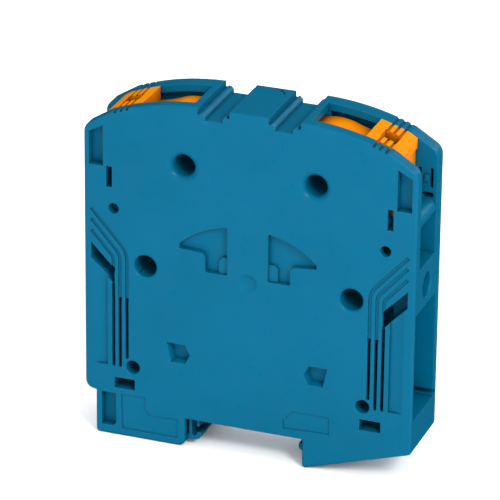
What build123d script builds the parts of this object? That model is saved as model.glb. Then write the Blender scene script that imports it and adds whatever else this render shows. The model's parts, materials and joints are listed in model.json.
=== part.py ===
from build123d import *
import os
from math import atan, cos, degrees, hypot, radians, sin, sqrt

# Feed-through terminal block for a 35 mm hat rail, with a lever-operated spring clamp at each end.
# X runs across the rail, Y along the rail and Z up. The origin is level with the top of the rail's
# lips, midway between them and half way through the block's width. Lengths are in millimetres.
# The clamp on the +X side is modelled and the one on the -X side is its mirror image.

os.makedirs("parts", exist_ok=True)

# Driving dimensions of the case
WIDTH = 25.0  # pitch along the rail
FRONT, BACK = -WIDTH / 2, WIDTH / 2
COVER = 2.6  # thickness of the cover plate
SEAM = BACK - COVER  # where the housing meets its cover
HALF = 54.1  # half the length across the rail
TOP = 109.65  # plateau above the rail's lips
PLATEAU = 15.5  # half width of the plateau
CATCH_DEEP = 0.7  # groove in the plateau
SHOULDER = (45.5, 103.8)  # end of the arch
EDGE = 0.8  # rounding of the outer edges
SEAM_BEVEL = 0.4  # both edges of the seam, so it shows as a fine groove
WALL = 4.0  # front wall
THIN = 1.5  # front wall beside the end pockets

# Rail seat: lips 35 mm apart over their outer edges
LIP_OUT, LIP_IN, LIP_UNDER = 17.5, 13.4, -1.0
BELLY = 3.5  # underside of the case between the feet
FOOT_LEFT, FOOT_LEFT_OUT, FOOT_LEFT_BASE = -20.5, -50.55, -6.05
FOOT_RIGHT, FOOT_RIGHT_BASE = 18.6, -6.4

# Lever and clamp
SLOT = (FRONT + WALL, 6.5)  # front and back faces of the lever slot
MID = (SLOT[0] + SLOT[1]) / 2  # middle of the clamp along the rail
LEVER_HALF = 7.25
AXLE = (21.45, 89.4)  # lever pivot
AXLE_R, AXLE_BORE = 4.3, 3.45  # the axle is a sleeve, so the socket in front of it runs deep
JAW = (18.6, 79.6)  # jaw pivot
JAW_PIN_R = 2.0
JAW_TILT = -47.0  # direction of the closed jaw
CRANK = 9.0  # pivot to link pin, the same on lever and jaw, so the four pivots stay a parallelogram
LINK_PIN_R = 1.2
FIT = 0.06  # radial running clearance
CHAMBER_R = 17.2  # room for the lever's heel
SLOT_END = 18.8
LEDGE = 2.4  # height of the ledge along the slot's back edge
BLOCK_IN, BLOCK_OUT = 36.0, 47.7  # the lever's thumb block
RIBS = (39.9, 41.9, 43.9)  # grip grooves across the arch
TOOL_HOLE = (41.75, MID - 0.6)  # centre of the square hole in the thumb block
TOOL_HOLE_SIZE = (5.3, 5.2)
CHEEK = 2.4  # thickness of the lever's cheeks
STRAP = 1.2  # thickness of the pull links' straps
JAW_ARM, JAW_EDGE = 5.4, 12.0  # widths of the jaw's arm and of its clamping edge
SPRING_WIDE = 5.2
PLATE = 1.2  # steel of the clamp frame
PLATE_OUT = 8.8  # outside of the clamp frame from the clamp's middle

# Wire entry and end pocket
ENTRY = (65.5, 77.5)
WELL_FLOOR = 83.3
LIP_ROUND = 2.6  # length of the rounded nose over the wire entry
BULKHEAD = 48.0
POCKET = (15.3, 51.2)  # end pockets, bottom and top
POCKET_WALL, ROOM_IN = 46.6, 36.0  # inner ends of the end pockets and of the vented rooms
BAR = (60.5, 64.5)  # current bar, bottom and top
BAR_HALF, BAR_WIDE = 44.0, 13.0

# Sockets in the front face: centre, radius and rim rounding
BIG_HOLE = (*AXLE, 3.5, 2.2)
MID_HOLE = (33.8, 53.9, 3.6, 1.0)
TEST_HOLE = (44.35, 71.9, 1.7, 0.45)
LOW_HOLE = (38.05, 18.4, 2.2, 0.7)
END_SOCKET = (-0.4, 57.6, 4.0, 7.0)  # centre along Y and Z, radius and depth
WINDOW_DEEP = 7.0  # slanted window above each end pocket
HOOD = 1.2  # wall that closes the window off from the end pocket
VENT = 1.1  # width of the narrow slots
GROOVE_BEND = 2.5  # centre-line bend of the innermost shallow groove
GROOVE_WIDE, GROOVE_DEEP = 1.2, 0.5
SAIL_DEEP, PENTAGON_DEEP, PANEL_DEEP = 2.0, 3.0, 0.35
SOCKET_DEEP = 12.0
PEGS = ((MID_HOLE, 2.5), (LOW_HOLE, 1.9))
PEG_END = 3.0  # front end of the pegs along Y

# Latch under the left lip
LATCH_Y = (-10.2, 9.6)


def face_plane(y):
    """Plane of the side view at depth y. A positive extrusion from it runs towards the front."""
    return Plane.XZ.offset(-y)


def arch_z(x):
    """Height of the arch at x."""
    run, drop = SHOULDER[0] - PLATEAU, TOP - SHOULDER[1]
    radius = (run * run + drop * drop) / (2 * drop)
    return TOP - radius + sqrt(radius * radius - max(x - PLATEAU, 0.0) ** 2)


def polar(centre, radius, angle):
    """Point at a distance and direction, in degrees, from a centre."""
    return (centre[0] + radius * cos(radians(angle)), centre[1] + radius * sin(radians(angle)))


CRANK_PIN = polar(AXLE, CRANK, JAW_TILT)  # on the lever
JAW_LINK = polar(JAW, CRANK, JAW_TILT)  # on the jaw


# Side view of the case, the same for the housing and the cover
corner = (HALF, 98.47)
rim = [SHOULDER, corner, (HALF, 4.6), (FOOT_RIGHT, FOOT_RIGHT_BASE), (FOOT_RIGHT, BELLY)]
rim += [(FOOT_LEFT, BELLY), (FOOT_LEFT, FOOT_LEFT_BASE), (FOOT_LEFT_OUT, FOOT_LEFT_BASE)]
rim += [(FOOT_LEFT_OUT, 8.6), (-HALF, 8.6), (-corner[0], corner[1]), (-SHOULDER[0], SHOULDER[1])]
with BuildSketch() as case_side:
    with BuildLine():
        Line((-PLATEAU, TOP), (PLATEAU, TOP))
        arch = TangentArc((PLATEAU, TOP), SHOULDER, tangent=(1, 0))
        mirror(arch, about=Plane.YZ)
        FilletPolyline(*rim, radius=[4, 1, 1, 0.4, 0.4, 2.2, 1.2, 0.4, 3, 4])
    make_face()


# Curved groove in the plateau where the next block's catch sits
with BuildSketch(Plane.XY.offset(TOP)) as catch_groove:
    with BuildLine():
        ThreePointArc((-0.8, BACK - 1.1), (2.5, 10.3), (4.2, 7.6))
    trace(line_width=0.5)


def outer_edges(part, place, axis=Axis.Y):
    """Edges of a flat outer face, by its place along an axis."""
    return part.edges().filter_by_position(axis, place - 0.001, place + 0.001)


def marker_channels():
    """Two stepped channels across the plateau that hold marker strips."""
    inner, outer, shelf, groove = 6.3, 16.7, 107.9, 0.9
    with Locations(((inner + outer) / 2, (shelf + TOP + 1) / 2)):
        Rectangle(outer - inner, TOP + 1 - shelf)
    Polygon(
        (7.6, shelf + 0.1), (8.5, 107.0), (8.5, 105.8), (14.15, 105.8), (14.15, 107.0),
        (15.05, shelf + 0.1), align=None,
    )
    for x in (inner + groove / 2, outer - groove / 2):
        with Locations((x, (107.5 + TOP) / 2)):
            Rectangle(groove, TOP - 107.5)
    mirror(about=Plane.YZ)


def grip_ribs():
    """Three small grooves across the arch beside the lever's tool hole, on both sides."""
    for x in RIBS:
        slope = degrees(atan((arch_z(x + 0.1) - arch_z(x - 0.1)) / 0.2))
        with Locations(Location((x, arch_z(x)), slope)):
            Rectangle(0.9, 1.3)
    mirror(about=Plane.YZ)


def marker_slits():
    """Two upright slits at each end through the back wall, for a marker carrier."""
    for x, z in ((52.4, 89.9), (48.6, 89.8)):
        with Locations((x, z), (-x, z)):
            SlotOverall(6.6, VENT, rotation=90)


def pocket_slot():
    """Long slot low in the back wall of each end pocket."""
    with Locations((HALF, POCKET[0] + 1.6), (-HALF, POCKET[0] + 1.6)):
        Rectangle(2 * (HALF - POCKET_WALL), 1.7)


def hole_row(extra=0.0, holes=(BIG_HOLE, MID_HOLE, TEST_HOLE, LOW_HOLE)):
    """Circles at the sockets, on both sides."""
    for x, z, radius, _ in holes:
        with Locations((x, z), (-x, z)):
            Circle(radius + extra)


def save(piece, name):
    """Labels a finished piece and writes its STEP file."""
    piece.part.label = name
    export_step(piece.part, f"parts/{name}.step")


def mirrored(piece):
    """The same piece on the other side."""
    with BuildPart() as other:
        mirror(piece.part, about=Plane.YZ)
    return other


# Housing: an open-backed case with the lever slots, wire entries, end pockets and feet
with BuildPart() as housing:
    with BuildSketch(face_plane(SEAM)):
        add(case_side.sketch)
    extrude(amount=SEAM - FRONT)
    fillet(outer_edges(housing.part, FRONT), EDGE)
    chamfer(outer_edges(housing.part, SEAM), SEAM_BEVEL)

    # Lever slots with the room for each heel, the open wells at the ends and the wire entries
    with BuildSketch(face_plane(SLOT[1])):
        with Locations(AXLE):
            Circle(CHAMBER_R)
        for x0, x1, z0, z1 in (
            (SLOT_END, HALF + 5, WELL_FLOOR, TOP + 5),
            (SLOT_END - 1.8, SLOT_END + 1, 94.0, 106.9),
            (AXLE[0], BULKHEAD, ENTRY[0], WELL_FLOOR + 1),
            (BULKHEAD - 1, HALF + 5, *ENTRY),
        ):
            with Locations(((x0 + x1) / 2, (z0 + z1) / 2)):
                Rectangle(x1 - x0, z1 - z0)
        mirror(about=Plane.YZ)
    extrude(amount=SLOT[1] - SLOT[0], mode=Mode.SUBTRACT)

    # Rounded lip over each wire entry, its nose just inside the end face
    lip_mid = (WELL_FLOOR + ENTRY[1]) / 2
    for side in (1, -1):
        with BuildSketch(face_plane(SLOT[1])):
            with BuildLine():
                root = side * (HALF - LIP_ROUND)
                front = side * (HALF + 1)
                nose = (side * (HALF - 0.1), lip_mid)
                ThreePointArc((root, WELL_FLOOR), nose, (root, ENTRY[1]))
                Polyline((root, ENTRY[1]), (front, ENTRY[1]), (front, WELL_FLOOR), (root, WELL_FLOOR))
            make_face()
        extrude(amount=SLOT[1] - SLOT[0], mode=Mode.SUBTRACT)

    # Clamp chambers, open at the back, with a channel between them for the current bar
    with BuildSketch(face_plane(SEAM)):
        Polygon((11.6, 58.6), (44.6, 58.6), (44.6, 84), (33, 96), (11.6, 96), align=None)
        mirror(about=Plane.YZ)
    extrude(amount=SEAM + 10.0, mode=Mode.SUBTRACT)
    with BuildSketch(face_plane(SEAM)):
        with Locations((0, (BAR[0] + BAR[1]) / 2)):
            Rectangle(2 * 12.5, BAR[1] - BAR[0] + 0.4)
    extrude(amount=SEAM - MID + BAR_WIDE / 2 + 0.2, mode=Mode.SUBTRACT)

    # End pockets open at the ends, and behind a partition the vented rooms open at the back, with a
    # column for the cover's lower peg
    for x0, x1, back in ((POCKET_WALL, HALF + 5, SEAM - 1.0), (ROOM_IN, POCKET_WALL - 1.3, SEAM)):
        with BuildSketch(face_plane(back)):
            with Locations(((x0 + x1) / 2, (POCKET[0] + POCKET[1]) / 2)):
                Rectangle(x1 - x0, POCKET[1] - POCKET[0])
            with Locations(LOW_HOLE[:2]):
                Circle(LOW_HOLE[2] + 1.6, mode=Mode.SUBTRACT)
            mirror(about=Plane.YZ)
        extrude(amount=back - FRONT - THIN, mode=Mode.SUBTRACT)
    with BuildSketch(face_plane(SEAM)):
        pocket_slot()
    extrude(amount=1.0, mode=Mode.SUBTRACT)
    # Hood round the back of each slanted window, under the top of the end pocket
    with BuildSketch(face_plane(FRONT + WINDOW_DEEP + HOOD)):
        Polygon((51.2, POCKET[1] + 0.5), (45.9, 46.15), (45.9, POCKET[1] + 0.5), align=None)
        mirror(about=Plane.YZ)
    extrude(amount=WINDOW_DEEP + HOOD - THIN / 2)

    # Coring behind the front wall, open at the back
    with BuildSketch(face_plane(SEAM)):
        for z0, z1 in ((12.0, 29.0), (31.0, 52.0)):
            with Locations((17.25, (z0 + z1) / 2)):
                Rectangle(31.5, z1 - z0)
        with Locations(MID_HOLE[:2]):
            Circle(MID_HOLE[2] + 1.4, mode=Mode.SUBTRACT)
        mirror(about=Plane.YZ)
        Polygon((21.5, -2.6), (21.5, 7.5), (48.5, 7.5), (48.5, 5.6), align=None)
    extrude(amount=SEAM - SLOT[0], mode=Mode.SUBTRACT)

    # Round socket in each end face, below the wire entry
    for side in (1, -1):
        with BuildSketch(Plane.YZ.offset(side * (HALF - END_SOCKET[3]))):
            with Locations(END_SOCKET[:2]):
                Circle(END_SOCKET[2])
        extrude(amount=side * (END_SOCKET[3] + 2), mode=Mode.SUBTRACT)
        mouth = outer_edges(housing.part, side * HALF, Axis.X).filter_by(GeomType.CIRCLE)
        fillet(mouth.filter_by(lambda e: abs(e.radius - END_SOCKET[2]) < 0.01), 0.5)

    # Latch channel in the left foot, the room above it for the latch's leaf, and the tail's way out
    with BuildSketch(face_plane(SEAM)):
        Polygon((-42.5, -4.55), (-20, -4.55), (-20, 2.5), (-42.5, 2.5), align=None)
        Polygon((-23.4, 2), (-17.8, 2), (-17.8, 9.2), (-23.4, 9.2), align=None)
    extrude(amount=SEAM + 10.5, mode=Mode.SUBTRACT)
    with BuildSketch(face_plane(2.5)):
        Polygon((-52, -3.9), (-42, -3.9), (-42, -0.7), (-52, -0.7), align=None)
    extrude(amount=7.0, mode=Mode.SUBTRACT)

    # Rail seats, a guide rib and the fixed hook under the right lip
    with BuildSketch(face_plane(SEAM)):
        for side in (1, -1):
            with Locations((side * (LIP_OUT + LIP_IN) / 2, (BELLY + 0.2) / 2)):
                Rectangle(LIP_OUT - LIP_IN - 0.4, BELLY + 0.2)
    extrude(amount=SEAM + 3.0)
    with BuildSketch(face_plane(SEAM)):
        with Locations((-17.0, BELLY / 2 + 0.25)):
            Rectangle(0.8, BELLY)
    extrude(amount=SEAM + 9.5)
    with BuildSketch(face_plane(8.0)):
        Polygon(
            (FOOT_RIGHT + 0.5, LIP_UNDER - 0.3), (15.4, LIP_UNDER - 0.3), (15.4, -2.6),
            (17.2, -4.4), (FOOT_RIGHT + 0.5, -4.4), align=None,
        )
    extrude(amount=14.0)

    # Undercut in the back wall of each lever slot, below a ledge that follows the arch
    with BuildSketch(face_plane(SEAM)):
        with BuildLine():
            ledge = [(x, arch_z(x) - LEDGE) for x in (SLOT_END + 0.7, 28.0, 37.0)]
            ThreePointArc(*ledge)
            Polyline(ledge[2], (37.0, 94.0), (ledge[0][0], 94.0), ledge[0])
        make_face()
        mirror(about=Plane.YZ)
    extrude(amount=SEAM - SLOT[1], mode=Mode.SUBTRACT)

    # Marker channels, grip grooves and the catch's groove
    with BuildSketch(face_plane(SEAM)):
        marker_channels()
        grip_ribs()
    extrude(amount=SEAM - FRONT, mode=Mode.SUBTRACT)
    extrude(catch_groove.sketch, amount=-CATCH_DEEP, mode=Mode.SUBTRACT)

    # Slits, a slot and a locating peg on the back wall of each well
    with BuildSketch(face_plane(SEAM)):
        marker_slits()
        with Locations((51.3, 84.25), (-51.3, 84.25)):
            SlotOverall(3.8, 1.8)
    extrude(amount=SEAM - SLOT[1], mode=Mode.SUBTRACT)
    with BuildSketch(face_plane(SLOT[1] + 0.2)):
        with Locations((51.15, 90.1), (-51.15, 90.1)):
            Rectangle(1.3, 2.0)
    extrude(amount=1.4)

    # Pockets and windows in the front wall
    with BuildSketch(face_plane(FRONT)):
        Polygon((47.7, 85.8), (52.45, 85.8), (52.45, 96.7), (47.7, 99.2), align=None)
        mirror(about=Plane.YZ)
        Polygon((-48.6, 8.5), (-48.6, -3.05), (-44.8, -3.05), (-43.7, -2.0), (-43.7, 8.5), align=None)
    extrude(amount=1.0 - WALL, mode=Mode.SUBTRACT)
    with BuildSketch(face_plane(FRONT)):
        with Locations((45.73, 82.45)):
            Rectangle(1.95, 6.9)
        mirror(about=Plane.YZ)
    extrude(amount=-WALL, mode=Mode.SUBTRACT)
    with BuildSketch(face_plane(FRONT)):
        with Locations((40.75, 12.35)):
            Rectangle(6.9, 3.7)
        mirror(about=Plane.YZ)
    extrude(amount=-9.0, mode=Mode.SUBTRACT)

    # Sail-shaped core recesses with a raised corner pad, and the tapered pentagons below them
    with BuildSketch(face_plane(FRONT)) as sails:
        with BuildLine():
            ThreePointArc((6.6, 71.5), (15.8, 68.6), (22.6, 63.6))
            Polyline(
                (22.6, 63.6), (22.4, 62.2), (14.9, 61.6), (14.0, 60.6), (13.9, 55.4), (6.6, 55.4),
                (6.6, 71.5),
            )
        make_face()
        fillet(sails.vertices().group_by(Axis.Y)[-1] + sails.vertices().group_by(Axis.Y)[0], 0.6)
        mirror(about=Plane.YZ)
    extrude(amount=-SAIL_DEEP, mode=Mode.SUBTRACT)
    with BuildSketch(face_plane(FRONT)):
        Polygon((26.5, 29.35), (20.4, 29.3), (18.8, 26), (20.4, 22.8), (25.1, 22.7), align=None)
        mirror(about=Plane.YZ)
    extrude(amount=-PENTAGON_DEEP, taper=14, mode=Mode.SUBTRACT)
    with BuildSketch(face_plane(FRONT + SAIL_DEEP)):
        Polygon((6.4, 55.0), (9.6, 55.0), (9.6, 59.8), (8.4, 60.9), (6.4, 60.9), align=None)
        mirror(about=Plane.YZ)
    extrude(amount=1.1)

    # Ventilation slots, window and shallow grooves beside each end pocket
    with BuildSketch(face_plane(FRONT)):
        for x, z0, z1 in ((39.9, 21.1, 42.0), (42.2, 17.9, 42.0), (44.4, 18.0, 46.6)):
            with Locations((x, (z0 + z1) / 2)):
                SlotOverall(z1 - z0, VENT, rotation=90)
        mirror(about=Plane.YZ)
    extrude(amount=-THIN, mode=Mode.SUBTRACT)
    with BuildSketch(face_plane(FRONT)):
        Polygon((51.9, 59.7), (51.9, 54.2), (44.0, 45.9), (43.95, 51.6), align=None)
        mirror(about=Plane.YZ)
    extrude(amount=-WINDOW_DEEP, mode=Mode.SUBTRACT)
    with BuildSketch(face_plane(FRONT)):
        with BuildLine():
            FilletPolyline((51.8, 71.0), (39.9, 57.8), (39.9, 41.2), radius=GROOVE_BEND + 4.5)
            FilletPolyline((51.7, 67.4), (42.2, 56.7), (42.2, 41.2), radius=GROOVE_BEND + 2.3)
            FilletPolyline((51.7, 63.7), (44.4, 55.5), (44.4, 50.6), radius=GROOVE_BEND)
        trace(line_width=GROOVE_WIDE)
        mirror(about=Plane.YZ)
    extrude(amount=-GROOVE_DEEP, mode=Mode.SUBTRACT)
    for side in (1, -1):
        with BuildSketch(Plane.XY.offset(18.1)):
            with BuildLine():
                dish = (side * 46.4, FRONT + 0.9)
                Polyline((side * 51.0, FRONT), (side * 51.0, FRONT - 1), (side * 46.4, FRONT - 1), dish)
                ThreePointArc(dish, (side * 48.8, FRONT + 0.7), (side * 51.0, FRONT))
            make_face()
        extrude(amount=35.4, mode=Mode.SUBTRACT)

    # Shallow panels over the latch and beside the fixed foot, and the gate dimple
    with BuildSketch(face_plane(FRONT)):
        Polygon(
            (-42, 8.6), (-33.8, 8.7), (-33.8, 4.5), (-32, 2.8), (-22.7, 3.0), (-23, -3.5),
            (-41.7, -3.5), align=None,
        )
        Polygon(
            (15.4, 12.85), (27.5, 12.85), (27.5, 6.9), (19.2, 6.7), (12.3, 6.3), (12.2, 9.4),
            align=None,
        )
    extrude(amount=-PANEL_DEEP, mode=Mode.SUBTRACT)
    dimple_r, dimple_deep = 3.2, 0.9
    ball = (dimple_r**2 + dimple_deep**2) / (2 * dimple_deep)
    with Locations((0, FRONT + dimple_deep - ball, 53.8)):
        Sphere(ball, mode=Mode.SUBTRACT)

    # Sockets with rounded mouths, and the bores for the cover's pegs behind them
    with BuildSketch(face_plane(FRONT)):
        hole_row()
    extrude(amount=-WALL, mode=Mode.SUBTRACT)
    with BuildSketch(face_plane(FRONT)):
        hole_row(holes=(MID_HOLE, LOW_HOLE))
    extrude(amount=-SOCKET_DEEP, mode=Mode.SUBTRACT)
    for x, z, radius, rim in (BIG_HOLE, MID_HOLE, TEST_HOLE, LOW_HOLE):
        mouths = outer_edges(housing.part, FRONT).filter_by(GeomType.CIRCLE)
        fillet(mouths.filter_by(lambda e: abs(e.radius - radius) < 0.01), rim)
    with BuildSketch(face_plane(SEAM)):
        for hole, peg in PEGS:
            with Locations((hole[0], hole[1]), (-hole[0], hole[1])):
                Circle(peg + FIT)
    extrude(amount=SEAM - PEG_END + 0.5, mode=Mode.SUBTRACT)

# Cover: the back plate, with pegs that plug into the housing
with BuildPart() as cover:
    with BuildSketch(face_plane(BACK)):
        add(case_side.sketch)
    extrude(amount=COVER)
    fillet(outer_edges(cover.part, BACK), EDGE)
    chamfer(outer_edges(cover.part, SEAM), SEAM_BEVEL)
    with BuildSketch(face_plane(BACK)):
        marker_channels()
        grip_ribs()
        marker_slits()
    extrude(amount=COVER, mode=Mode.SUBTRACT)
    extrude(catch_groove.sketch, amount=-CATCH_DEEP, mode=Mode.SUBTRACT)
    with BuildSketch(face_plane(SEAM)):
        for hole, peg in PEGS:
            with Locations((hole[0], hole[1]), (-hole[0], hole[1])):
                Circle(peg)
    extrude(amount=SEAM - PEG_END)
    # Pads that hold the axles and jaw pins in
    with BuildSketch(face_plane(SEAM)):
        for centre, radius in ((AXLE, AXLE_R + 0.4), (JAW, JAW_PIN_R + 1.0)):
            with Locations(centre, (-centre[0], centre[1])):
                Circle(radius)
    extrude(amount=0.8)
    # The other half of the slot in each end pocket's back wall
    with BuildSketch(face_plane(SEAM)):
        pocket_slot()
    extrude(amount=-1.2, mode=Mode.SUBTRACT)
    # Sinks on the back that match the sockets of the next block, and a shallow panel round the middle
    with BuildSketch(face_plane(BACK)):
        hole_row(holes=(BIG_HOLE, MID_HOLE, LOW_HOLE))
    extrude(amount=1.4, mode=Mode.SUBTRACT)
    with BuildSketch(face_plane(BACK)):
        with Locations((0, 42)):
            RectangleRounded(52, 40, 4)
            RectangleRounded(50, 38, 3, mode=Mode.SUBTRACT)
    extrude(amount=0.5, mode=Mode.SUBTRACT)


# Top of the lever from its heel to the thumb block
with BuildLine() as lever_top:
    hump = ThreePointArc((15.7, 104.3), (22.3, 105.6), (29.0, 104.3))
    TangentArc((29.0, 104.3), (BLOCK_IN, 102.4), tangent=hump % 1)

# Lever: a bridge over two cheeks, with a thumb block that fills the slot at the outer end
with BuildPart() as lever_right:
    with BuildSketch(face_plane(MID + LEVER_HALF)):
        with BuildLine():
            add(lever_top.line)
            Polyline(
                (BLOCK_IN, 102.4), (BLOCK_IN, 99.8), (28.6, 101.6), (22.3, 103.0), (16.6, 101.9),
                (15.7, 104.3),
            )
        make_face()
        with BuildLine():
            Line((BLOCK_IN, 99), (BLOCK_IN, arch_z(BLOCK_IN)))
            ThreePointArc((BLOCK_IN, arch_z(BLOCK_IN)), (41, arch_z(41)), SHOULDER)
            Polyline(
                SHOULDER, (BLOCK_OUT, 102.4), (BLOCK_OUT, 99.2), (BLOCK_OUT - 0.6, 98.7),
                (BLOCK_OUT - 0.6, 86), (45.6, 82.2), (43.6, 81.4), (42, 79), (39.5, 79),
                (BLOCK_IN, 86), (BLOCK_IN, 99),
            )
        make_face()
    extrude(amount=2 * LEVER_HALF)
    # Cheeks
    for y in (MID + LEVER_HALF, MID - LEVER_HALF + CHEEK):
        with BuildSketch(face_plane(y)):
            with BuildLine():
                add(lever_top.line)
                Polyline(
                    (BLOCK_IN, 102.4), (38, 101), (38, 84), (CRANK_PIN[0] + 2.2, CRANK_PIN[1] - 2.0),
                    (CRANK_PIN[0] - 2.2, CRANK_PIN[1] + 1.0), (AXLE[0], AXLE[1] - 4.6),
                    (AXLE[0] - 5.2, AXLE[1]), (16.2, 99), (15.7, 104.3),
                )
            make_face()
            with Locations(AXLE):
                Circle(AXLE_R + 1.9)
            with Locations(CRANK_PIN):
                Circle(3.0)
        extrude(amount=CHEEK)
    # Bores for the axle and the link pin
    with BuildSketch(face_plane(BACK)):
        with Locations(AXLE):
            Circle(AXLE_R + FIT)
        with Locations(CRANK_PIN):
            Circle(LINK_PIN_R + FIT / 2)
    extrude(amount=WIDTH, mode=Mode.SUBTRACT)
    # Square tool hole down through the thumb block
    with BuildSketch(Plane.XY.offset(88.0)):
        with Locations(TOOL_HOLE):
            Rectangle(*TOOL_HOLE_SIZE)
    extrude(amount=TOP - 88.0, mode=Mode.SUBTRACT)
    with BuildSketch(face_plane(BACK)):
        grip_ribs()
    extrude(amount=WIDTH, mode=Mode.SUBTRACT)

# Link pin carried by the lever
with BuildPart() as crank_pin_right:
    with BuildSketch(face_plane(MID + LEVER_HALF - 0.3)):
        with Locations(CRANK_PIN):
            Circle(LINK_PIN_R)
    extrude(amount=2 * LEVER_HALF - 0.6)

# Axle: a moulded sleeve, held at both ends by the clamp frame
with BuildPart() as lever_axle_right:
    with BuildSketch(face_plane(MID + PLATE_OUT + 0.6)):
        with Locations(AXLE):
            Circle(AXLE_R)
            Circle(AXLE_BORE, mode=Mode.SUBTRACT)
    extrude(amount=2 * PLATE_OUT + 0.7)
    chamfer(lever_axle_right.edges().filter_by(GeomType.CIRCLE).group_by(SortBy.RADIUS)[-1], 0.2)

# Pull links: one strap each side of the jaw
link_length = hypot(AXLE[0] - JAW[0], AXLE[1] - JAW[1])
link_angle = degrees(atan((AXLE[1] - JAW[1]) / (AXLE[0] - JAW[0])))
link_middle = ((CRANK_PIN[0] + JAW_LINK[0]) / 2, (CRANK_PIN[1] + JAW_LINK[1]) / 2)
with BuildPart() as pull_link_right:
    for y in (MID + 3.1 + STRAP, MID - 3.1):
        with BuildSketch(face_plane(y)):
            with Locations(link_middle):
                SlotCenterToCenter(link_length, 4.4, rotation=link_angle)
            with Locations(CRANK_PIN, JAW_LINK):
                Circle(LINK_PIN_R + FIT, mode=Mode.SUBTRACT)
        extrude(amount=STRAP)

# Jaw: a narrow arm on its pivot with a broad clamping edge
jaw_plane = Plane(
    origin=(JAW[0], MID, JAW[1]),
    x_dir=(cos(radians(JAW_TILT)), 0, sin(radians(JAW_TILT))),
    z_dir=(0, -1, 0),
)
with BuildPart() as clamp_jaw_right:
    with BuildSketch(jaw_plane.offset(-JAW_ARM / 2)):
        Circle(3.4)
        with Locations((7.5, 0)):
            Rectangle(15, 3.2)
        with Locations((CRANK, -0.4)):
            Circle(2.8)
        Circle(JAW_PIN_R + FIT, mode=Mode.SUBTRACT)
        with Locations((CRANK, 0)):
            Circle(LINK_PIN_R + FIT / 2, mode=Mode.SUBTRACT)
    extrude(amount=JAW_ARM)
    with BuildSketch(jaw_plane.offset(-JAW_EDGE / 2)):
        Polygon(
            (11.7, 1.6), (17.1, 1.6), (18.9, -0.6), (18.0, -2.4), (16.9, -1.6), (11.7, -1.6),
            align=None,
        )
    extrude(amount=JAW_EDGE)

with BuildPart() as jaw_link_pin_right:
    with BuildSketch(face_plane(MID + 4.5)):
        with Locations(JAW_LINK):
            Circle(LINK_PIN_R)
    extrude(amount=9.0)

with BuildPart() as jaw_pin_right:
    with BuildSketch(face_plane(MID + PLATE_OUT + 0.4)):
        with Locations(JAW):
            Circle(JAW_PIN_R)
    extrude(amount=2 * PLATE_OUT + 0.5)
    chamfer(jaw_pin_right.edges().filter_by(GeomType.CIRCLE), 0.3)

# Clamp frame: a folded steel cage that carries the axle, the jaw pin and the current bar
frame_base, frame_back = BAR[0] - 0.1 - PLATE, 12.2
with BuildPart() as clamp_frame_right:
    for y in (MID + PLATE_OUT, MID - PLATE_OUT + PLATE):
        with BuildSketch(face_plane(y)):
            Polygon(
                (frame_back, frame_base), (39, frame_base), (39, 67), (28.5, 92.5), (26, 95),
                (17, 95), (frame_back, 88), align=None,
            )
            with Locations(AXLE):
                Circle(AXLE_R + FIT, mode=Mode.SUBTRACT)
            with Locations(JAW):
                Circle(JAW_PIN_R + FIT, mode=Mode.SUBTRACT)
        extrude(amount=PLATE)
    with BuildSketch(face_plane(MID + PLATE_OUT)):
        with Locations(((frame_back + 39) / 2, frame_base + PLATE / 2)):
            Rectangle(39 - frame_back, PLATE)
        with Locations((frame_back + PLATE / 2, 75)):
            Rectangle(PLATE, 18)
    extrude(amount=2 * PLATE_OUT)

# Clamp spring: a flat strip from the frame's back plate, round the jaw's pivot and along the jaw
spring_r, strip = 4.35, 0.9
with BuildPart() as clamp_spring_right:
    with BuildSketch(face_plane(MID + SPRING_WIDE / 2)):
        with BuildLine():
            start = (JAW[0] - spring_r, 67.5)
            Line(start, (start[0], JAW[1]))
            ThreePointArc(
                (start[0], JAW[1]), polar(JAW, spring_r, 105), polar(JAW, spring_r, JAW_TILT + 90),
            )
            arm = polar(JAW, spring_r, JAW_TILT + 90)
            Line(arm, polar(polar(JAW, 15.0, JAW_TILT), 2.5, JAW_TILT + 90))
        trace(line_width=strip)
    extrude(amount=SPRING_WIDE)

# Current bar: one flat copper bar between the two clamps, serrated under the jaws
with BuildPart() as current_bar:
    with BuildSketch(face_plane(MID + BAR_WIDE / 2)):
        with Locations((0, (BAR[0] + BAR[1]) / 2)):
            Rectangle(2 * BAR_HALF, BAR[1] - BAR[0])
        for step in range(5):
            with Locations((28 + 2 * step, BAR[1]), (-28 - 2 * step, BAR[1])):
                Rectangle(0.6, 0.6, rotation=45, mode=Mode.SUBTRACT)
    extrude(amount=BAR_WIDE)
    chamfer(current_bar.faces().filter_by(Axis.X).edges().filter_by(Axis.Y), 0.8)

# Foot latch: a slide with a nose under the left lip, an upright leaf and a tail with a tool eye
with BuildPart() as foot_latch:
    with BuildSketch(face_plane(LATCH_Y[1])):
        with BuildLine():
            Polyline(
                (-18.9, -2.0), (-18.9, 8.4), (-19.8, 8.4), (-19.8, -2.8), (-20.9, -2.8), (-20.9, 2.2),
                (-36, 2.2), (-36, -4.15), (-17.7, -4.15), (-16.4, -3.6), (-15.5, -1.9), (-15.5, -1.45),
                (-16.9, -1.45), (-17.3, -2.0),
            )
            ThreePointArc((-17.3, -2.0), (-18.1, -2.8), (-18.9, -2.0))
        make_face()
    extrude(amount=LATCH_Y[1] - LATCH_Y[0])
    with BuildSketch(face_plane(2.0)):
        with Locations((-43, -2.3)):
            Rectangle(14.4, 2.2)
    extrude(amount=6.0)
    with BuildSketch(Plane.XY.offset(-6)):
        with Locations((-47.4, -1)):
            SlotOverall(3.4, 2.2, rotation=90)
    extrude(amount=6, mode=Mode.SUBTRACT)

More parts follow.
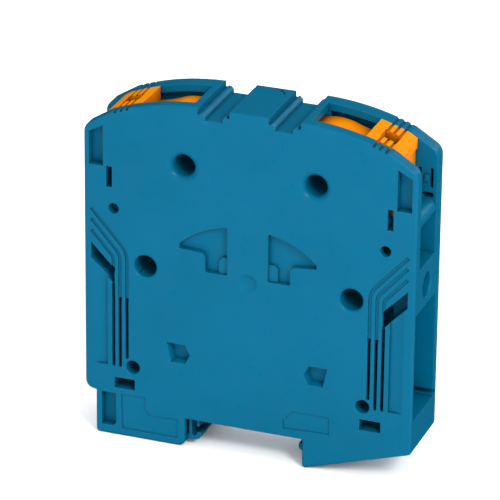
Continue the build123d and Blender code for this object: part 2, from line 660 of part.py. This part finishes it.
# Latch spring: a coil between the end of the channel and the latch
with BuildPart() as latch_spring:
    with BuildLine() as coil:
        Helix(pitch=1.15, height=5.6, radius=1.9, center=(-42.1, 6.2, -1.0), direction=(1, 0, 0))
    with BuildSketch(Plane(origin=coil.line @ 0, z_dir=coil.line % 0)):
        Circle(0.28)
    sweep(path=coil.line, is_frenet=True)

pairs = {
    "lever": lever_right,
    "crank_pin": crank_pin_right,
    "lever_axle": lever_axle_right,
    "pull_link": pull_link_right,
    "clamp_jaw": clamp_jaw_right,
    "jaw_link_pin": jaw_link_pin_right,
    "jaw_pin": jaw_pin_right,
    "clamp_frame": clamp_frame_right,
    "clamp_spring": clamp_spring_right,
}
for name, piece in pairs.items():
    save(piece, f"{name}_right")
    save(mirrored(piece), f"{name}_left")
save(housing, "housing")
save(cover, "cover")
save(current_bar, "current_bar")
save(foot_latch, "foot_latch")
save(latch_spring, "latch_spring")
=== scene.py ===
"""Looks for a feed-through DIN rail terminal block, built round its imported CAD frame."""

import json
import math

import bpy
from mathutils import Euler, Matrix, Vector


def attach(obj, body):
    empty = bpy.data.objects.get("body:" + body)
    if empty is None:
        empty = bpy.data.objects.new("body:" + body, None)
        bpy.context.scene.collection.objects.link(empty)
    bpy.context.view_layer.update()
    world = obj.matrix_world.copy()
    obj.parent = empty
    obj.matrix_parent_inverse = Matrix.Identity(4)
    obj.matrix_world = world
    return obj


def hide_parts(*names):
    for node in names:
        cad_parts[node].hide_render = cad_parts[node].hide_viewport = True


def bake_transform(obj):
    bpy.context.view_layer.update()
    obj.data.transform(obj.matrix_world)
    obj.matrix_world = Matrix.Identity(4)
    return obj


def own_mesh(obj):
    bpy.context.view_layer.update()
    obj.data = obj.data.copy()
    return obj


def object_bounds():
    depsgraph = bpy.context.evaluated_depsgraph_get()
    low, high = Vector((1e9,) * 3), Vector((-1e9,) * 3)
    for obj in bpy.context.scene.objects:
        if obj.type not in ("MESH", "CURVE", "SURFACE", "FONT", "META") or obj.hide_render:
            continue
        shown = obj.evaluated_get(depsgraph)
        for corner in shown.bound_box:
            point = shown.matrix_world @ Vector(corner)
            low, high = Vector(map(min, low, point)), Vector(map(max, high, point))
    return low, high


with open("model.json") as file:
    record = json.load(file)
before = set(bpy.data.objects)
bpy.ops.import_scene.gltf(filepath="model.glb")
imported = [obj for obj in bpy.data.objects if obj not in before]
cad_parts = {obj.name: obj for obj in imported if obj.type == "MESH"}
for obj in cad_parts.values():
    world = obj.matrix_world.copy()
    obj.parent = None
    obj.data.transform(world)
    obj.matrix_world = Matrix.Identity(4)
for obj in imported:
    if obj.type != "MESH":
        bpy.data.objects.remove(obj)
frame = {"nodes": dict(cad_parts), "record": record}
cad_low, cad_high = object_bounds()

MM = 0.001

# The camera stands to the right of the front face and above it, with a long lens
CAMERA_PLACE = Vector((0.38107, -1.05032, 0.5603))
CAMERA_TURN = math.radians(20.122)
CAMERA_DROP = math.radians(24.122)
CAMERA_ROLL = math.radians(0.61)
LENS = 284.8
SENSOR = 36

# Studio
FLOOR_HALF = 6.0
FLOOR_DROP = 0.05 * MM
FLOOR_WHITE = (0.97, 0.97, 0.97, 1)
SKY_STRENGTH = 1.3

# Moulded plastic: sizes of its surface features and of the patches of its painted edge highlight,
# and reach of the painted shade in its hollows
PLASTIC_EDGE = 0.22 * MM
CLOUD_SIZE = 28 * MM
SPECK_SIZE = 0.35 * MM
EDGE_HIGHLIGHT_PATCH_SIZE = 3 * MM
SHEEN_SIZE = 5 * MM
WAVE_SIZE, WAVE_HEIGHT = 9 * MM, 0.03 * MM
GRAIN_SIZE, GRAIN_HEIGHT = 0.16 * MM, 0.004 * MM
HOLLOW_SHADE_REACH = 9 * MM

# Rolled and drawn metal
METAL_EDGE = 0.12 * MM
STREAK_SIZE, STREAK_HEIGHT = 0.12 * MM, 0.003 * MM
BLOTCH_SIZE, BLOTCH_HEIGHT = 3.5 * MM, 0.01 * MM

# Faces that meet at more than this stay sharp
SHARP_FROM = math.radians(28)

# Sockets of the colour mix node
MIX_A, MIX_B, MIX_OUT = 6, 7, 2

# Linear colours. The paler edge colours are painted highlights; the darkest colours give both a
# random darker tone and painted shade in hollows and creases
BLUE = (0.0, 0.100, 0.188)
BLUE_LATCH = (0.0, 0.092, 0.173)
BLUE_EDGE_HIGHLIGHT = (0.025, 0.175, 0.295)
BLUE_DARK_TONE_AND_SHADE = (0.0, 0.022, 0.040)
ORANGE = (0.68, 0.203, 0.0)
ORANGE_EDGE_HIGHLIGHT = (0.84, 0.30, 0.004)
ORANGE_DARK_TONE_AND_SHADE = (0.15, 0.030, 0.002)


class Nodes:
    """A material's node tree, with short calls to add nodes and to join them."""

    def __init__(self, name):
        self.material = bpy.data.materials.new(name)
        self.material.use_nodes = True
        self.tree = self.material.node_tree
        self.tree.nodes.clear()
        self.output = self.add("ShaderNodeOutputMaterial")
        self.shader = self.add("ShaderNodeBsdfPrincipled")
        self.join(self.shader, "BSDF", self.output, "Surface")
        self.place = self.add("ShaderNodeTexCoord")

    def add(self, kind, inputs=(), **settings):
        """Adds a node, sets its properties and then its sockets by name or number."""
        node = self.tree.nodes.new(kind)
        for key, value in settings.items():
            setattr(node, key, value)
        for key, value in dict(inputs).items():
            node.inputs[key].default_value = value
        return node

    def join(self, source, out, target, socket):
        self.tree.links.new(source.outputs[out], target.inputs[socket])

    def noise(self, size, detail=2.0, stretch=(1, 1, 1)):
        """Noise with features of about one size, in metres, longer along stretched axes."""
        scale = self.add("ShaderNodeMapping")
        scale.inputs["Scale"].default_value = [1 / (size * s) for s in stretch]
        self.join(self.place, "Object", scale, "Vector")
        noise = self.add("ShaderNodeTexNoise", {"Scale": 1.0, "Detail": detail})
        self.join(scale, "Vector", noise, "Vector")
        return noise

    def remap(self, source, out, low, high, to_low, to_high):
        """Maps a value from one range to another, clamped."""
        node = self.add(
            "ShaderNodeMapRange",
            {"From Min": low, "From Max": high, "To Min": to_low, "To Max": to_high},
        )
        self.join(source, out, node, "Value")
        return node

    def calc(self, operation, a, b):
        """Arithmetic on two nodes' first outputs, or on a node and a number."""
        node = self.add("ShaderNodeMath", operation=operation)
        for socket, value in enumerate((a, b)):
            if isinstance(value, (int, float)):
                node.inputs[socket].default_value = value
            else:
                self.join(value, 0, node, socket)
        return node

    def mix(self, factor, colour_a, colour_b):
        """Mixes two colours, each a tuple or a node, by a node's first output."""
        node = self.add("ShaderNodeMix", data_type="RGBA")
        self.join(factor, 0, node, "Factor")
        for socket, colour in ((MIX_A, colour_a), (MIX_B, colour_b)):
            if isinstance(colour, tuple):
                node.inputs[socket].default_value = (*colour, 1)
            else:
                self.join(colour, MIX_OUT, node, socket)
        return node

    def edges(self, radius):
        """Masks of the outer edges and of the creases, where shade is painted, and the node with
        the rounded normal.
        """
        bevel = self.add("ShaderNodeBevel", {"Radius": radius}, samples=6)
        geometry = self.add("ShaderNodeNewGeometry")
        dot = self.add("ShaderNodeVectorMath", operation="DOT_PRODUCT")
        self.join(bevel, "Normal", dot, 0)
        self.join(geometry, "Normal", dot, 1)
        turned = self.remap(dot, "Value", 0.995, 0.80, 0.0, 1.0)
        # Occlusion over a short reach finds the creases that get painted shade
        hollow = self.add("ShaderNodeAmbientOcclusion", {"Distance": 4 * radius}, samples=6)
        outside = self.remap(hollow, "AO", 0.55, 0.9, 0.0, 1.0)
        crease_shade_mask = self.remap(hollow, "AO", 0.45, 0.85, 1.0, 0.0)
        return self.calc("MULTIPLY", turned, outside), crease_shade_mask, bevel

    def bumps(self, layers, rounded):
        """Chains bump layers of (noise, height in metres) onto the shader's normal."""
        before = rounded
        for noise, height in layers:
            bump = self.add("ShaderNodeBump", {"Strength": 1.0, "Distance": height})
            self.join(noise, 0, bump, "Height")
            self.join(before, "Normal", bump, "Normal")
            before = bump
        self.join(before, "Normal", self.shader, "Normal")


def moulded(name, colours, gloss, shine=0.1, shade_from=0.45, shade_share=0.58):
    """Satin moulded plastic: spark-eroded grain, faint flow clouds, a painted highlight on the
    edges, painted shade in hollows and creases.
    """
    colour, edge_highlight_colour, dark_tone_and_shade_colour = colours
    n = Nodes(name)
    clouds = n.noise(CLOUD_SIZE, detail=3)
    specks = n.noise(SPECK_SIZE, detail=2)
    edge, crease_shade, rounded = n.edges(PLASTIC_EDGE)
    tint = n.remap(clouds, "Fac", 0.3, 0.7, 0.0, 0.10)
    tint = n.calc("ADD", tint, n.remap(specks, "Fac", 0.3, 0.7, 0.0, 0.05))
    body = n.mix(tint, colour, dark_tone_and_shade_colour)
    # Painted shade: the less open a spot, the more of the dark colour is mixed in
    hollow = n.add("ShaderNodeAmbientOcclusion", {"Distance": HOLLOW_SHADE_REACH}, samples=8)
    body = n.mix(n.remap(hollow, "AO", 0.04, shade_from, shade_share, 0.0), body, dark_tone_and_shade_colour)
    # Painted shade in the creases
    body = n.mix(n.calc("MULTIPLY", crease_shade, 0.6), body, dark_tone_and_shade_colour)
    # Painted highlight: a paler colour along the outer edges, in patches
    edge_highlight = n.calc("MULTIPLY", edge, n.remap(n.noise(EDGE_HIGHLIGHT_PATCH_SIZE), "Fac", 0.35, 0.65, 0.35, 0.75))
    body = n.mix(edge_highlight, body, edge_highlight_colour)
    n.join(body, MIX_OUT, n.shader, "Base Color")
    sheen = n.noise(SHEEN_SIZE, detail=4)
    rough = n.remap(sheen, "Fac", 0.3, 0.7, gloss - 0.05, gloss + 0.07)
    rough = n.calc("SUBTRACT", rough, n.calc("MULTIPLY", edge, 0.10))
    n.join(rough, 0, n.shader, "Roughness")
    n.shader.inputs["Specular IOR Level"].default_value = shine
    waves = n.noise(WAVE_SIZE)
    grain = n.noise(GRAIN_SIZE, detail=1)
    n.bumps([(waves, WAVE_HEIGHT), (grain, GRAIN_HEIGHT)], rounded)
    return n.material


def metal(name, colour, worn_colour, gloss, streak):
    """Rolled or drawn metal: streaks along one axis, blotches, painted shade in the creases,
    brighter edges.
    """
    n = Nodes(name)
    lines = n.noise(STREAK_SIZE, detail=3, stretch=streak)
    blotch = n.noise(BLOTCH_SIZE, detail=4)
    edge, crease_shade, rounded = n.edges(METAL_EDGE)
    shade = tuple(0.72 * c for c in colour)
    body = n.mix(n.remap(lines, "Fac", 0.3, 0.7, 0.0, 0.5), colour, shade)
    body = n.mix(n.remap(blotch, "Fac", 0.45, 0.75, 0.0, 0.45), body, shade)
    # Painted shade in the creases
    body = n.mix(n.calc("MULTIPLY", crease_shade, 0.5), body, tuple(0.4 * c for c in colour))
    body = n.mix(n.calc("MULTIPLY", edge, 0.7), body, worn_colour)
    n.join(body, MIX_OUT, n.shader, "Base Color")
    n.shader.inputs["Metallic"].default_value = 1.0
    rough = n.remap(lines, "Fac", 0.3, 0.7, gloss - 0.07, gloss + 0.10)
    rough = n.calc("ADD", rough, n.remap(blotch, "Fac", 0.4, 0.7, 0.0, 0.12))
    n.join(rough, 0, n.shader, "Roughness")
    n.bumps([(lines, STREAK_HEIGHT), (blotch, BLOTCH_HEIGHT)], rounded)
    return n.material


MATERIALS = {
    "case_plastic": moulded("case_plastic", (BLUE, BLUE_EDGE_HIGHLIGHT, BLUE_DARK_TONE_AND_SHADE), 0.32),
    "latch_plastic": moulded("latch_plastic", (BLUE_LATCH, BLUE_EDGE_HIGHLIGHT, BLUE_DARK_TONE_AND_SHADE), 0.30),
    # The lever gets a weaker specular and a stronger painted shade in its hollows, which turns its
    # tool hole brown
    "lever_plastic": moulded(
        "lever_plastic", (ORANGE, ORANGE_EDGE_HIGHLIGHT, ORANGE_DARK_TONE_AND_SHADE), 0.32,
        shine=0.03, shade_from=0.85, shade_share=1.0,
    ),
    # Near-black steel on the frame, so the holes that look onto it read dark: painted shade
    "frame_steel": metal("frame_steel", (0.11, 0.11, 0.12), (0.30, 0.30, 0.31), 0.42, (1, 1, 14)),
    "spring_steel": metal("spring_steel", (0.42, 0.43, 0.46), (0.62, 0.62, 0.63), 0.32, (1, 1, 12)),
    "pin_steel": metal("pin_steel", (0.50, 0.51, 0.53), (0.66, 0.66, 0.67), 0.28, (1, 12, 1)),
    "bar_copper": metal("bar_copper", (0.72, 0.70, 0.67), (0.80, 0.36, 0.18), 0.30, (14, 1, 1)),
}


def dress(node, material):
    """Gives a CAD node its material and smooth shading across its curved faces."""
    node.data.materials.clear()
    node.data.materials.append(material)
    node.data.shade_smooth()
    node.data.set_sharp_from_angle(angle=SHARP_FROM)


for part in frame["record"]["subparts"]:
    dress(frame["nodes"][part["node"]], MATERIALS[part["material_slot"]])


def springy(name):
    """A copy of a CAD spring that stands for it; the CAD node itself is hidden."""
    node = frame["nodes"][name]
    piece = bpy.data.objects.new(f"{name}_sprung", node.data.copy())
    bpy.context.scene.collection.objects.link(piece)
    piece.matrix_world = node.matrix_world
    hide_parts(name)
    return piece


# The latch's coil hangs on the case body, with a mesh of its own
coil = springy("latch_spring")
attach(coil, "case")
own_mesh(coil)

# Each clamp spring is copied, with its place baked into its mesh
for side, sign in (("right", 1), ("left", -1)):
    strip = springy(f"clamp_spring_{side}")
    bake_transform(strip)


def place_camera():
    """Camera at the viewing angle, rolled slightly."""
    data = bpy.data.cameras.new("camera")
    data.lens = LENS
    data.sensor_width = SENSOR
    data.clip_start, data.clip_end = 0.05, 50
    camera = bpy.data.objects.new("camera", data)
    bpy.context.scene.collection.objects.link(camera)
    camera.location = CAMERA_PLACE
    look = Euler((math.pi / 2 - CAMERA_DROP, 0, CAMERA_TURN), "XYZ").to_matrix()
    roll = Euler((0, 0, CAMERA_ROLL), "XYZ").to_matrix()
    camera.rotation_euler = (look @ roll).to_euler()
    bpy.context.scene.camera = camera


def place_floor():
    """Plain pale floor under the feet."""
    mesh = bpy.data.meshes.new("floor")
    corners = [(-1, -1), (1, -1), (1, 1), (-1, 1)]
    height = cad_low.z - FLOOR_DROP
    points = [(FLOOR_HALF * x, FLOOR_HALF * y, height) for x, y in corners]
    mesh.from_pydata(points, [], [(0, 1, 2, 3)])
    floor = bpy.data.objects.new("floor", mesh)
    bpy.context.scene.collection.objects.link(floor)
    n = Nodes("floor")
    n.shader.inputs["Base Color"].default_value = FLOOR_WHITE
    n.shader.inputs["Roughness"].default_value = 0.9
    n.shader.inputs["Specular IOR Level"].default_value = 0.1
    mesh.materials.append(n.material)
    floor.visible_glossy = False


def place_light(name, direction, distance, size, power, mirrored=True):
    """Square soft light that shines on the block's middle, and is mirrored in it or not."""
    data = bpy.data.lights.new(name, "AREA")
    data.size = size
    data.energy = power
    light = bpy.data.objects.new(name, data)
    bpy.context.scene.collection.objects.link(light)
    middle = (cad_low + cad_high) / 2
    toward = Vector(direction).normalized()
    light.location = middle + toward * distance
    light.rotation_euler = toward.to_track_quat("Z", "Y").to_euler()
    light.visible_glossy = mirrored


def light_scene():
    """White surroundings, a key light from the upper right, a weak rim light from behind and a
    fill light from the front that isn't mirrored."""
    world = bpy.data.worlds.new("studio")
    world.use_nodes = True
    background = world.node_tree.nodes["Background"]
    background.inputs["Color"].default_value = (1, 1, 1, 1)
    background.inputs["Strength"].default_value = SKY_STRENGTH
    bpy.context.scene.world = world
    world.cycles_visibility.glossy = False  # only the lights are mirrored
    place_light("key", (0.60, -0.50, 0.60), 1.2, 0.3, 9.0)
    place_light("rim", (0.41, 0.86, 0.31), 1.2, 0.5, 1.0)
    place_light("fill", (0.10, -0.95, 0.20), 1.4, 1.0, 6.0, mirrored=False)
    bpy.context.scene.view_settings.view_transform = "Standard"


place_camera()
place_floor()
light_scene()
